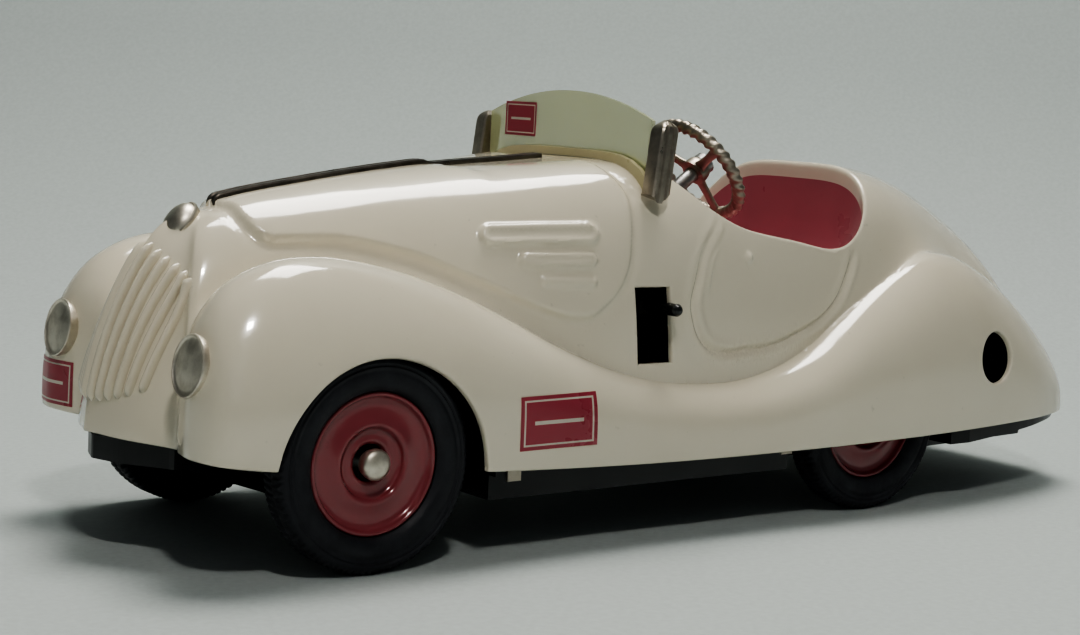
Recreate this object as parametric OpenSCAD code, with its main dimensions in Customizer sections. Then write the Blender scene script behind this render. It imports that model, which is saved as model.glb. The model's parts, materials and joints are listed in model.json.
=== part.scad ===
// Clockwork tin toy roadster: pressed shell on a black tin base, geared spring
// motor on the rear axle, steered front wheels. +X forward, +Y left, +Z up.

/* [Overall] */
// Overall length
body_l = 142.8; // [130:0.1:156]
// Widest half width of the shell
half_w = 23.9; // [22:0.1:26]
// Sheet thickness of the shell
skin_t = 0.6; // [0.5:0.05:0.8]
// Height of the sill edge above the ground
sill_z = 10.3; // [9:0.1:12]

/* [Running gear] */
// Front axle position
front_x = 48.8; // [46:0.1:52]
// Rear axle position
rear_x = -26.4; // [-27:0.1:-26]
// Tyre outer radius
tyre_r = 11.65; // [11:0.05:12]
// Tyre width
tyre_w = 4.2; // [3.6:0.1:4.4]
// Wheel disc radius
disc_r = 7.65; // [7:0.05:8]
// Middle of the front wheels from the centre line
track_y = 20; // [19.6:0.1:20.2]
// Middle of the rear wheels from the centre line
rear_y = 18.7; // [18.5:0.1:18.9]
// Axle radius
axle_r = 1.2; // [1:0.05:1.4]
// Running clearance on radius
run = 0.05; // [0.03:0.01:0.08]

/* [Steering] */
// Kingpin distance from the centre line
king_y = 15; // [14.5:0.1:15.2]
// Steering arm length
arm_l = 8.6; // [8:0.1:9]
// Column rake below level
rake = 36; // [33:0.5:39]
// Steering wheel hub position along the car
hub_x = -6; // [-6.5:0.1:-5.5]
// Steering wheel hub distance from the centre line
hub_y = 7.2; // [6.8:0.1:7.4]
// Steering wheel hub height
hub_z = 42.1; // [41:0.1:43]
// Steering wheel rim radius
rim_r = 6.6; // [6:0.1:6.8]
// Column length
col_l = 42.6; // [42:0.1:43]
// Crank pin throw
crank_r = 3; // [2.8:0.1:3.1]

/* [Motor] */
// Gear module
mod = 0.65; // [0.65:0.01:0.66]
// Winding arbor position along the car
arb_x = -46.9; // [-47.2:0.1:-46.6]
// Winding arbor height
arb_z = 18.9; // [18.7:0.1:19]
// Great wheel teeth
z_great = 25; // [25:1:25]
// Second pinion teeth
z_pin = 12; // [12:1:12]
// Second wheel teeth
z_sec = 24; // [24:1:24]
// Axle pinion teeth
z_axle = 10; // [10:1:10]
// Motor plate inner face from the centre line
plate_y = 6.6; // [6.4:0.1:7]

/* [Cabin] */
// Cockpit opening middle
pit_x = -11.6; // [-11.8:0.1:-11.4]
// Cockpit opening half length
pit_a = 18.4; // [18.2:0.1:18.6]
// Cockpit opening half width
pit_b = 16.9; // [16.7:0.1:17]
// Seat floor height
floor_z = 27.6; // [27.4:0.1:29]
// Windscreen position along the car
glass_x = 8.8; // [8.4:0.1:9.2]
// Windscreen top height
glass_z = 51.1; // [49:0.1:52]
// Windscreen thickness
glass_t = 0.5; // [0.4:0.05:0.7]

/* [Hidden] */
$fn = 48;
wheel_z = tyre_r;
kx = body_l / 142.8;
sec_d = mod * (z_great + z_pin) / 2;
dr_d = mod * (z_sec + z_axle) / 2;
ac = sqrt(pow(rear_x - arb_x, 2) + pow(wheel_z - arb_z, 2));
ac_t = atan2(wheel_z - arb_z, rear_x - arb_x);
ab_t = ac_t + acos((ac * ac + sec_d * sec_d - dr_d * dr_d) / (2 * ac * sec_d));
sec_x = arb_x + sec_d * cos(ab_t);
sec_z = arb_z + sec_d * sin(ab_t);
bc_t = atan2(wheel_z - sec_z, rear_x - sec_x);
base_z = 6.5;
base_t = 0.6;
top_z = base_z + base_t;
end_x = hub_x + col_l * cos(rake);
end_z = hub_z - col_l * sin(rake);
tie_x = front_x - arm_l;
tie_z = 14.5;
lev_x = -9;
lev_z = 24.3;
lev_y = 15.2;
lev_a = 7.45;
lev_l = 17.75;
gl_x = -4;
gl_y = -7;
gl_z = 31.2;

// plan outline, skeleton, dome exponent, by station number from nose to tail
OX = [71.4, 69.6, 66.4, 67.4, 68.0, 66.2, 60, 50, 38, 26, 12, -6, -20, -34, -48, -60,
    -68, -71, -71.4];
OY = [0, 5.4, 10.4, 13.6, 17.6, 21.7, 23.5, 23.9, 23.6, 23.1, 23.1, 23.4, 23.8, 23.8,
    22.9, 20.9, 17.0, 9.2, 0];
SX = [62.5, 61, 59.5, 58, 56.5, 53.5, 48, 40, 30, 20, 9, -5, -16, -27, -38, -47.5,
    -53.5, -56.5, -57.5];
EX = [1.65, 1.65, 1.9, 2.6, 3, 3.6, 4.2, 4.3, 4.4, 4.5, 4.6, 4.6, 4.6, 4.4, 4.2, 3.4,
    2.7, 2.3, 2.2];
// height of the bonnet and deck, fender crest, and their widths, by position
HF = [[-72, 24], [-62, 32.3], [-54, 36.7], [-46.7, 39.8], [-38.6, 42], [-29, 43.3],
    [0, 43.6], [8, 43.3], [13, 42.8], [33, 41], [46, 39.1], [57, 37], [64.5, 34.6],
    [72, 32]];
WF = [[-72, 15], [-60, 14.5], [-46, 15.6], [-37, 17], [-29, 17.9], [-20, 18.3],
    [0, 19.3], [12, 19.3], [22, 18], [35, 15.2], [48, 12.6], [60, 10.6], [72, 9]];
MF = [[-72, 2.2], [-50, 2.5], [-38, 3.5], [-29, 4.5], [-18, 4.5], [-6, 4.6], [4, 5.3],
    [12, 5.4], [20, 4], [30, 3], [45, 2.6], [72, 2.2]];
ZC = [[-72, 17], [-66, 22], [-58, 27], [-50, 31], [-43, 33.4], [-37.5, 33.6], [-31, 31],
    [-23, 26.7], [-15, 21.6], [-6, 18.8], [4, 18.6], [14, 20.4], [22, 23.4], [30, 27.2],
    [38, 30.6], [46, 32.9], [53, 33.8], [60, 33.2], [66, 31], [72, 27]];
YC = [[-72, 13], [-60, 15.6], [-45, 17.4], [-30, 18.2], [-15, 19.6], [4, 20], [20, 19.4],
    [40, 17.6], [55, 16.6], [72, 16.6]];
CU = [[-72, 0.1], [-40, 0.1], [-20, 0.05], [0, 0.02], [20, 0.03], [40, 0.08], [60, 0.12],
    [72, 0.12]];
ZB = [[-72, 0], [34, 0], [50, 1.1], [62, 2.1], [72, 3.1]];

// smooth curve through a list of [position, value] pairs
function slope(K, i) = i <= 0 ? (K[1][1] - K[0][1]) / (K[1][0] - K[0][0])
    : i >= len(K) - 1 ? (K[i][1] - K[i - 1][1]) / (K[i][0] - K[i - 1][0])
    : ((K[i][1] - K[i - 1][1]) / (K[i][0] - K[i - 1][0]) * (K[i + 1][0] - K[i][0])
    + (K[i + 1][1] - K[i][1]) / (K[i + 1][0] - K[i][0]) * (K[i][0] - K[i - 1][0]))
    / (K[i + 1][0] - K[i - 1][0]);
function seg(K, t, i) = i >= len(K) - 2 || t < K[i + 1][0] ? i : seg(K, t, i + 1);
function herm(a, b, p, q, h, u) = (2 * u * u * u - 3 * u * u + 1) * a
    + (u * u * u - 2 * u * u + u) * h * p + (3 * u * u - 2 * u * u * u) * b
    + (u * u * u - u * u) * h * q;
function crv(K, t) = let(v = min(max(t, K[0][0]), K[len(K) - 1][0]), i = seg(K, v, 0),
    h = K[i + 1][0] - K[i][0])
    herm(K[i][1], K[i + 1][1], slope(K, i), slope(K, i + 1), h, (v - K[i][0]) / h);
function tan_at(V, i) = i <= 0 ? V[1] - V[0] : i >= len(V) - 1 ? V[i] - V[i - 1]
    : (V[i + 1] - V[i - 1]) / 2;
function at(V, s) = let(i = min(floor(s), len(V) - 2))
    herm(V[i], V[i + 1], tan_at(V, i), tan_at(V, i + 1), 1, s - i);
function smax(a, b, k) = let(h = max(k - abs(a - b), 0) / k) max(a, b) + h * h * k / 4;
function low_z(x) = sill_z + crv(ZB, x);
function top_at(x, y) = let(b = low_z(x), m = crv(MF, x),
    q = min(abs(y) / crv(WF, x), 1),
    f = b + (crv(HF, x) - b) * pow(max(1 - pow(q, m), 0), 1 / m),
    g = crv(ZC, x) - crv(CU, x) * pow(abs(y) - crv(YC, x), 2)) smax(f, g, 5);
// the same height moved inwards or outwards by t, so that steep walls keep their gauge
function near_top(x, y, t) = let(a = top_at(x, abs(y) + t), c = top_at(x, abs(y)),
    d = top_at(x, max(abs(y) - t, 0))) t >= 0 ? min(a, c, d) : max(a, c, d);
// point on the shell: station s, reach r from skeleton to edge, inset t
function skin(s, r, t) = let(ox = at(OX, s), oy = at(OY, s), sx = at(SX, s), n = at(EX, s),
    e = t * 1.15, jx = ox - e * (ox > 0 ? 1 : -1) * pow(abs(ox) / 71.4, 3),
    jy = max(oy - e * min(oy / 6, 1), 0), x = sx + r * (jx - sx), y = r * jy,
    b = low_z(ox), z = b + (near_top(x, y, t) - b) * pow(max(1 - pow(r, n), 0), 1 / n))
    [x * kx, y * half_w / 23.9, r >= 1 ? b - (t > 0 ? 1 : 0) : max(z - t, b - t)];
ns = 54;
nr = 16;
function reach(j) = 1 - pow(1 - j / nr, 1.6);
function li(i, j) = i * (nr + 1) + j;
function ri(i, j) = j == 0 || i == 0 || i == ns ? li(i, j) : (ns + 1) * (nr + 1) + li(i, j);
function lowi(i, m) = 2 * (ns + 1) * (nr + 1) + i;

module dome(t) {
    st = (len(OX) - 1) / ns;
    half = [for (i = [0 : ns], j = [0 : nr]) skin(i * st, reach(j), t)];
    spine = [for (i = [0 : ns]) [half[li(i, 0)][0], 0, half[li(i, nr)][2]]];
    pts = concat(half, [for (p = half) [p[0], 0 - p[1], p[2]]], spine);
    faces = concat(
        [for (i = [0 : ns - 1], j = [0 : nr - 1])
            [li(i, j), li(i + 1, j), li(i + 1, j + 1)]],
        [for (i = [0 : ns - 1], j = [0 : nr - 1])
            [li(i, j), li(i + 1, j + 1), li(i, j + 1)]],
        [for (i = [0 : ns - 1], j = [0 : nr - 1])
            [ri(i, j), ri(i + 1, j + 1), ri(i + 1, j)]],
        [for (i = [0 : ns - 1], j = [0 : nr - 1])
            [ri(i, j), ri(i, j + 1), ri(i + 1, j + 1)]],
        [for (i = [0 : ns - 1]) [li(i, nr), li(i + 1, nr), lowi(i + 1, 0)]],
        [for (i = [0 : ns - 1]) [li(i, nr), lowi(i + 1, 0), lowi(i, 0)]],
        [for (i = [0 : ns - 1]) [ri(i, nr), lowi(i + 1, 0), ri(i + 1, nr)]],
        [for (i = [0 : ns - 1]) [ri(i, nr), lowi(i, 0), lowi(i + 1, 0)]]);
    good = [for (f = faces) if (f[0] != f[1] && f[1] != f[2] && f[0] != f[2]) f];
    polyhedron(pts, good, convexity = 8);
}

function oval(a, b, k) = [for (i = [0 : k - 1]) let(c = cos(360 * i / k),
    s = sin(360 * i / k), n = c > 0 ? 4 : 5.5) [a * sign(c) * pow(abs(c), 2 / n),
    b * sign(s) * pow(abs(s), 2 / n)]];

module rod(a, b, r) {
    d = b - a;
    l = norm(d);
    translate(a) rotate([0, acos(d[2] / l), atan2(d[1], d[0])]) cylinder(h = l, r = r);
}

module along_y(x, z, y0, y1, r) {
    translate([x, y1, z]) rotate([90, 0, 0]) cylinder(h = y1 - y0, r = r);
}

module arch(side) {
    translate([front_x - 0.2, side * 20, 10.2]) rotate([90, 0, 0])
        cylinder(h = 10, r = 13, center = true, $fn = 60);
}

// point on the nose at distance y from the middle and height z, by halving
function rib_pt(y, z, a, b, n) = let(m = (a + b) / 2,
    p = skin(m, min(y / at(OY, m), 1), 0.1))
    n == 0 ? p : p[2] < z ? rib_pt(y, z, m, b, n - 1) : rib_pt(y, z, a, m, n - 1);
function rib_line(y) = let(z0 = 16.5 + 0.04 * y * y, z1 = 33.1 - 0.55 * y)
    [for (k = [0 : 5]) rib_pt(y, z0 + (z1 - z0) * k / 5, 0, 2.8, 14)];

module nose_ribs() {
    for (y = [0.6 : 1.15 : 6.4], s = [-1, 1]) scale([1, s, 1])
        let(P = rib_line(y)) for (k = [0 : 4]) rod(P[k], P[k + 1], 0.45, $fn = 6);
}

module pit_prism(d) {
    translate([pit_x, 0, 20]) linear_extrude(30) polygon(oval(pit_a - d, pit_b - d, 60));
}

module body_shell() {
    color([0.93, 0.9, 0.8]) resize([0, 0, 0]) {
        difference() {
            union() {
                dome(0);
                nose_ribs();
            }
            dome(skin_t);
            pit_prism(0);
            arch(1);
            arch(-1);
            translate([9.9, 18.6, 24.6]) cube([4.7, 9, 9.3], center = true);
            along_y(arb_x, arb_z, 17, 26, 3.3);
            for (s = [-1, 1]) {
                translate([glass_x, s * 17.5, 43.1]) cube([2.8, 3, 9.8], center = true);
                translate([glass_x, s * 16.55, 37]) cube([2, 0.7, 6], center = true);
            }
            translate([glass_x, 0, 44]) cube([0.8, 32.4, 8], center = true);
        }
        intersection() {
            difference() {
                pit_prism(-0.2);
                pit_prism(1);
            }
            difference() {
                dome(-0.3);
                dome(1.5);
            }
        }
    }
}

// plan outline of the tin base, inset by d
function edge_pt(s, d) = let(x = at(OX, s), y = at(OY, s)) [x - d * sign(x) *
    pow(abs(x) / 71.4, 3), y - d * min(y / 6, 1)];
function both(P) = concat(P, [for (i = [len(P) - 1 : -1 : 0]) [P[i][0], -P[i][1]]]);
function pan_pts(d) = both([[54, 12.6 - d], [33.8 - d, 12.6 - d], [33.8 - d, 20.9 - d],
    [-11.2 + d, 20.9 - d], [-11.2 + d, 14.4 - d], [-39.6 - d, 14.4 - d],
    [-39.6 - d, 17 - d], [-62, 14.8 - d], [-66.5 + d, 11.5 - d], [-68.6 + d, 6]]);
function apron_pts(d) = both(concat([for (s = [0.05 : 0.15 : 2]) edge_pt(s, 0.9 + d)],
    [[61.4 + d, 9.2 - d]]));
function tail_pts(d) = both([each [for (s = [17.95 : -0.18 : 13.5]) edge_pt(s, 0.9 + d)],
    [-39.9 - d, 21.8 - d], [-39.9 - d, 10]]);

// half space above a plane that rises towards the tail
module above_tail(d) {
    translate([-44, -30, 7.9 + d]) rotate([0, 3.6, 0]) translate([-40, 0, 0])
        cube([60, 60, 12]);
}

module base_plate() {
    color([0.06, 0.06, 0.07]) {
        difference() {
            union() {
                difference() {
                    translate([0, 0, base_z]) linear_extrude(3.4) polygon(pan_pts(0));
                    translate([0, 0, top_z]) linear_extrude(9) polygon(pan_pts(base_t));
                    translate([53.3, -12, top_z]) cube([2, 24, 9]);
                    translate([front_x, 0, top_z + 5]) cube([5, 40, 10], center = true);
                }
                for (s = [-1, 1]) {
                    translate([-11.2, s > 0 ? 20.3 : -22.1, 9.3]) cube([45, 1.8, base_t]);
                    translate([-11.2, s > 0 ? 21.5 : -22.1, 9.3]) cube([45, base_t, 3.3]);
                }
                translate([53.8, -9, base_z]) rotate([0, -19, 0])
                    cube([11, 18, base_t]);
                translate([0, 0, 10.2]) linear_extrude(base_t) polygon(apron_pts(0));
                translate([0, 0, 10.2]) linear_extrude(2.5) difference() {
                    polygon(apron_pts(0));
                    polygon(apron_pts(base_t));
                }
            }
            for (x = [31.5, -9.5], s = [-1, 1])
                translate([x, s * 21.8, 10.6]) cube([2.2, 1, 1.4], center = true);
        }
        difference() {
            intersection() {
                translate([0, 0, 7.2]) linear_extrude(3.6) polygon(tail_pts(0));
                above_tail(0);
            }
            intersection() {
                translate([0, 0, 7.2]) linear_extrude(5) polygon(tail_pts(base_t));
                above_tail(base_t);
            }
            translate([-62.4, -9, top_z]) cube([23.4, 18, 6]);
        }
    }
}

module sill_tabs() {
    color([0.85, 0.83, 0.76]) for (x = [31.5, -9.5], s = [-1, 1]) {
        translate([x, s * 22.3, 10.2]) cube([1.8, 0.3, 3], center = true);
        translate([x, s * 21.42, 11.1]) cube([1.8, 2.06, 0.4], center = true);
    }
}

module seat_tub() {
    color([0.68, 0.13, 0.15]) resize([0, 0, 0]) intersection() {
        difference() {
            translate([pit_x, 0, floor_z]) linear_extrude(16, scale = 1.32)
                polygon(oval(14.4, 12.9, 60));
            translate([pit_x, 0, floor_z + 0.6]) linear_extrude(15.5, scale = 1.32)
                polygon(oval(13.9, 12.4, 60));
            translate([-1.2, -20, 20]) cube([20, 40, 30]);
        }
        dome(2);
    }
}

module windscreen() {
    color([0.62, 0.66, 0.42, 0.35]) translate([glass_x + glass_t / 2, 0, 0])
        rotate([90, 0, -90]) linear_extrude(glass_t) intersection() {
            translate([0, glass_z - 42.9]) circle(r = 42.9, $fn = 240);
            translate([-15.9, 40.3]) square([31.8, 14]);
        }
}

module windscreen_channel() {
    color([0.86, 0.8, 0.6]) resize([0, 0, 0]) difference() {
        intersection() {
            translate([glass_x, 0, 44]) cube([1.7, 31.6, 8], center = true);
            dome(-1);
        }
        dome(-0.04);
        translate([glass_x, 0, 44]) cube([glass_t + 0.08, 33, 12], center = true);
    }
}

module post(s) {
    color([0.62, 0.6, 0.55]) {
        translate([glass_x, s * 17.4, 0]) rotate([90, 0, 0])
            linear_extrude(2.2, center = true) polygon([[-1.2, 39.6], [0, 38.5],
            [1.2, 39.6], [1.2, 47.2], [0.6, 48], [-0.6, 48], [-1.2, 47.2]]);
        translate([glass_x - 0.9, s * 16.55 - 0.25, 34.5]) cube([1.8, 0.5, 5.5]);
        for (x = [-0.6, 0.6]) rod([glass_x + x, s * 18.5, 40.4], [glass_x + x, s * 18.5,
            46.8], 0.3, $fn = 16);
    }
}

module post_left() {
    post(1);
}

module post_right() {
    post(-1);
}

module bonnet_strip() {
    color([0.45, 0.43, 0.4]) resize([0, 0, 0]) difference() {
        intersection() {
            translate([13, -0.75, 30]) cube([44.6, 1.5, 20]);
            dome(-0.55);
        }
        dome(-0.03);
    }
}

module nose_badge() {
    color([0.6, 0.57, 0.5]) resize([0, 0, 0]) difference() {
        translate([61.3, 0, 35.2]) rotate([0, 34, 0]) scale([1.1, 0.85, 0.62])
            sphere(r = 2.3, $fn = 32);
        dome(-0.05);
        nose_ribs();
    }
}

module headlight(s) {
    color([0.66, 0.64, 0.58]) resize([0, 0, 0]) difference() {
        translate([66.9, s * 15.7, 22.1]) rotate([0, 80, 0]) {
            cylinder(h = 1.5, r = 3.4, $fn = 40);
            translate([0, 0, 1.2]) scale([1, 1, 0.24]) sphere(r = 3, $fn = 36);
        }
        dome(-0.04);
    }
}

module headlight_left() {
    headlight(1);
}

module headlight_right() {
    headlight(-1);
}

module on_column() {
    translate([hub_x, hub_y, hub_z]) rotate([0, 90 + rake, 0]) children();
}

module steering_wheel() {
    color([0.6, 0.58, 0.52]) on_column() difference() {
        union() {
            rotate_extrude($fn = 64) translate([rim_r, 0]) circle(r = 0.7, $fn = 16);
            cylinder(h = 1.6, r = 1.7, center = true);
            for (a = [0, 120, 240]) rotate([0, 0, a + 60])
                translate([1.4, -0.6, -0.4]) cube([rim_r - 1.8, 1.2, 0.8]);
        }
        cylinder(h = 5, r = 0.92, center = true);
    }
}

module steering_column() {
    color([0.5, 0.49, 0.46]) on_column() {
        translate([0, 0, -0.8]) cylinder(h = col_l + 0.8, r = 0.9);
        translate([0, 0, -1.6]) cylinder(h = 0.78, r = 1.4);
        translate([-1.2, -1.2, col_l]) cube([crank_r + 2.2, 2.4, 1]);
        translate([crank_r, 0, col_l + 1]) cylinder(h = 2, r = 0.65);
    }
}

module column_bracket() {
    bx = hub_x + 34.5 * cos(rake);
    bz = hub_z - 34.5 * sin(rake);
    color([0.55, 0.55, 0.53]) difference() {
        union() {
            on_column() translate([0, 0, 33]) cylinder(h = 3, r = 1.9);
            translate([bx - 1, hub_y - 1.3, top_z]) cube([2, 2.6, bz - top_z]);
            translate([bx - 3.5, hub_y - 2.6, top_z]) cube([7, 5.2, 0.8]);
        }
        on_column() translate([0, 0, 30]) cylinder(h = 9, r = 0.9 + run);
    }
}

module tie_rod() {
    color([0.5, 0.49, 0.46]) difference() {
        union() {
            translate([tie_x - 1.6, -16.3, tie_z]) cube([3.2, 32.6, 0.9]);
            translate([end_x + 1.2, hub_y - 1.6, tie_z])
                cube([tie_x - end_x - 2, 3.2, 0.9]);
            on_column() translate([-0.6, -2.6, col_l + 1.2]) cube([6.4, 5.2, 0.8]);
        }
        on_column() translate([crank_r - 1.5, -0.85, col_l + 0.5]) cube([2.5, 1.7, 1.7]);
        for (s = [-1, 1]) translate([tie_x - 1, s * king_y - 0.76, tie_z - 1])
            cube([2, 1.52, 3]);
    }
}

module front_bracket() {
    color([0.35, 0.35, 0.36]) difference() {
        union() for (s = [-1, 1]) {
            translate([front_x - 2.5, s > 0 ? 11.2 : -12.2, top_z]) cube([5, 1, 9.6]);
            translate([front_x - 2, s > 0 ? 11.2 : -16.6, 15.7]) cube([4, 5.4, 1]);
            translate([front_x - 2, s > 0 ? 11.2 : -16.6, top_z]) cube([4, 5.4, 1]);
            translate([front_x - 2.5, s > 0 ? 0 : -12.2, top_z]) cube([5, 12.2, 0.6]);
        }
        for (s = [-1, 1]) translate([front_x, s * king_y, 6])
            cylinder(h = 12, r = 1 + run);
    }
}

module knuckle(s) {
    color([0.58, 0.57, 0.53]) {
        translate([front_x, s * king_y, top_z + 0.1]) cylinder(h = 9.4, r = 1);
        translate([front_x, s * king_y, 8.3]) cylinder(h = 7.2, r = 1.8);
        along_y(front_x, wheel_z, s > 0 ? king_y : -22.2, s > 0 ? 22.2 : -king_y, 0.9);
        translate([tie_x - 1.1, s * king_y - 1.1, 13.2]) cube([arm_l, 2.2, 1.1]);
        translate([tie_x, s * king_y, 14]) cylinder(h = 2, r = 0.7);
    }
}

module knuckle_left() {
    knuckle(1);
}

module knuckle_right() {
    knuckle(-1);
}

module wheel_disc(x, w, s, bore) {
    color([0.66, 0.1, 0.12]) translate([x, s * w, wheel_z])
        rotate([s > 0 ? -90 : 90, 0, 0]) rotate_extrude($fn = 72) polygon([[bore, 0.7],
        [1.9, 0.7], [2.3, 0.2], [3, 0.2], [3.4, 0.95], [4.3, 1.05], [4.7, 0.75],
        [5.9, 0.7], [6.5, 1.3], [7.2, 1.5], [disc_r, 1.2], [disc_r, -1.6], [7.1, -1.6],
        [7.1, 0.2], [4.6, 0.1], [1.9, -0.5], [1.9, -2.4], [bore, -2.4]]);
}

module tyre(x, w, s) {
    color([0.05, 0.05, 0.06]) translate([x, s * w, wheel_z])
        rotate([90, 0, 0]) rotate_extrude($fn = 96) polygon(let(h = tyre_w / 2,
        R = tyre_r, q = disc_r + 0.06) [[q, -h + 0.7], [q + 0.6, -h + 0.1], [q + 1.6, -h],
        [R - 1.6, -h], [R - 1.5, -h + 0.3], [R - 1.25, -h + 0.3], [R - 1.15, -h + 0.05],
        [R - 0.4, -h + 0.4], [R, -h + 1.1], [R, h - 1.1], [R - 0.4, h - 0.4],
        [R - 1.15, h - 0.05], [R - 1.25, h - 0.3], [R - 1.5, h - 0.3], [R - 1.6, h],
        [q + 1.6, h], [q + 0.6, h - 0.1], [q, h - 0.7]]);
}

module cap(x, w, s, bore) {
    color([0.7, 0.68, 0.62]) translate([x, s * (w + 0.85), wheel_z])
        rotate([s > 0 ? -90 : 90, 0, 0]) rotate_extrude() polygon([[bore, 0], [1.65, 0],
        [1.7, 0.6], [1.6, 1.1], [1.2, 1.6], [0.6, 1.85], [0, 1.9], [0, 1.45],
        [bore, 1.45]]);
}

module front_disc_left() {
    wheel_disc(front_x, track_y, 1, 0.95);
}

module front_disc_right() {
    wheel_disc(front_x, track_y, -1, 0.95);
}

module front_tyre_left() {
    tyre(front_x, track_y, 1);
}

module front_tyre_right() {
    tyre(front_x, track_y, -1);
}

module front_cap_left() {
    cap(front_x, track_y, 1, 0.92);
}

module front_cap_right() {
    cap(front_x, track_y, -1, 0.92);
}

module rear_axle() {
    color([0.6, 0.6, 0.57]) along_y(rear_x, wheel_z, -rear_y - 2.2, rear_y + 2.2, axle_r);
}

module rear_disc_left() {
    wheel_disc(rear_x, rear_y, 1, axle_r + 0.02);
}

module rear_disc_right() {
    wheel_disc(rear_x, rear_y, -1, axle_r + 0.02);
}

module rear_tyre_left() {
    tyre(rear_x, rear_y, 1);
}

module rear_tyre_right() {
    tyre(rear_x, rear_y, -1);
}

module rear_caps() {
    cap(rear_x, rear_y, 1, axle_r + 0.02);
    cap(rear_x, rear_y, -1, axle_r + 0.02);
}

// involute gear outline with n teeth, a tooth centred on angle zero
function inv_a(rb, r) = let(c = acos(min(rb / r, 1))) tan(c) * 180 / PI - c;
function gear_pts(n) = let(rp = mod * n / 2, rb = rp * cos(25), ra = rp + mod * 0.9,
    rr = rp - mod * 1.15, ht = 90 / n * 0.93 + inv_a(rb, rp), r0 = max(rb, rr + 0.02),
    R = [rr, for (k = [0 : 3]) r0 + (ra - r0) * k / 3],
    A = [for (r = R) ht - (r < rb ? 0 : inv_a(rb, r))])
    [for (i = [0 : n - 1]) each concat(
    [for (k = [0 : 4]) [R[k] * cos(360 * i / n - A[k]), R[k] * sin(360 * i / n - A[k])]],
    [for (k = [4 : -1 : 0]) [R[k] * cos(360 * i / n + A[k]),
    R[k] * sin(360 * i / n + A[k])]])];

module gear(x, z, y0, h, n, ph, bore) {
    translate([x, y0 + h, z]) rotate([90, 0, 0]) difference() {
        rotate([0, 0, ph]) linear_extrude(h) polygon(gear_pts(n));
        translate([0, 0, -1]) cylinder(h = h + 2, r = bore);
    }
}

module axle_pinion() {
    color([0.74, 0.6, 0.3]) gear(rear_x, wheel_z, 3.7, 1.8, z_axle,
        bc_t + 180 + 180 / z_axle, axle_r + 0.02);
}

module second_wheel() {
    color([0.76, 0.62, 0.32]) gear(sec_x, sec_z, 3.9, 1.4, z_sec, bc_t, 0.92);
}

module second_pinion() {
    color([0.72, 0.58, 0.3]) gear(sec_x, sec_z, 1.4, 2.2, z_pin,
        ab_t + 180 + 180 / z_pin, 0.92);
}

module second_arbor() {
    color([0.6, 0.6, 0.58]) along_y(sec_x, sec_z, -8, 8, 0.9);
}

module great_wheel() {
    color([0.76, 0.62, 0.32]) difference() {
        gear(arb_x, arb_z, 1.6, 1.8, z_great, ab_t, 1.4 + run);
        for (a = [30 : 60 : 330])
            along_y(arb_x + 5.2 * cos(a), arb_z + 5.2 * sin(a), 1, 4, a == 90 ? 0.1 : 1.4);
    }
}

module ratchet_wheel() {
    color([0.5, 0.5, 0.5]) translate([arb_x, 0.9, arb_z]) rotate([90, 0, 0])
        difference() {
            linear_extrude(1.2) polygon([for (i = [0 : 11]) each [
                [4 * cos(30 * i), 4 * sin(30 * i)],
                [3.1 * cos(30 * i + 4), 3.1 * sin(30 * i + 4)]]]);
            translate([0, 0, -1]) cylinder(h = 4, r = 1.42);
        }
}

module click_pawl() {
    color([0.45, 0.45, 0.46]) {
        along_y(arb_x, arb_z + 6.4, -0.2, 1.55, 0.8);
        translate([arb_x - 0.5, -0.2, arb_z + 4.2]) cube([2.6, 1, 1]);
        translate([arb_x + 0.1, -0.2, arb_z + 4.2]) cube([1.2, 1, 2.4]);
    }
}

module winding_arbor() {
    color([0.65, 0.65, 0.62]) {
        along_y(arb_x, arb_z, -8.4, 14.5, 1.4);
        translate([arb_x - 0.95, 14.4, arb_z - 0.95]) cube([1.9, 4.6, 1.9]);
    }
}

module mainspring() {
    n = 132;
    c = [for (i = [0 : n]) 1.75 + 6.6 * i / n];
    a = [for (i = [0 : n]) 145.6 - 360 * 5.5 * (1 - i / n)];
    color([0.35, 0.37, 0.42]) translate([arb_x, -1.4, arb_z]) rotate([90, 0, 0])
        linear_extrude(4.6) {
            polygon(concat(
                [for (i = [0 : n]) [c[i] * cos(a[i]), c[i] * sin(a[i])]],
                [for (i = [n : -1 : 0]) (c[i] - 0.3) * [cos(a[i]), sin(a[i])]]));
            rotate([0, 0, 145.6]) translate([8.1, -0.15]) square([2.8, 0.3]);
        }
}

PIL = [[-59.8, 9.5], [arb_x - 9.8, arb_z + 6.7], [-22, 24.5], [-20.8, 9]];

module motor_plate(y0) {
    color([0.62, 0.63, 0.62]) difference() {
        translate([-61.4, y0, top_z]) cube([42.2, 1, floor_z - top_z - 0.1]);
        along_y(arb_x, arb_z, y0 - 1, y0 + 2, 1.4 + run);
        along_y(sec_x, sec_z, y0 - 1, y0 + 2, 0.9 + run);
        along_y(rear_x, wheel_z, y0 - 1, y0 + 2, axle_r + run);
        for (p = PIL) along_y(p[0], p[1], y0 - 1, y0 + 2, 0.62);
        translate([-40.5, y0 - 1, 9]) cube([6, 3, 4.6]);
        translate([-45, y0 - 1, 22.8]) cube([5, 3, 3]);
    }
}

module motor_plate_left() {
    motor_plate(plate_y);
}

module motor_plate_right() {
    motor_plate(-plate_y - 1);
}

module motor_pillars() {
    color([0.7, 0.58, 0.34]) for (p = PIL) {
        along_y(p[0], p[1], -plate_y, plate_y, 0.9);
        along_y(p[0], p[1], -plate_y - 1.5, plate_y + 1.5, 0.6);
        along_y(p[0], p[1], plate_y + 1, plate_y + 1.6, 1.1);
        along_y(p[0], p[1], -plate_y - 1.6, -plate_y - 1, 1.1);
    }
}

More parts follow.
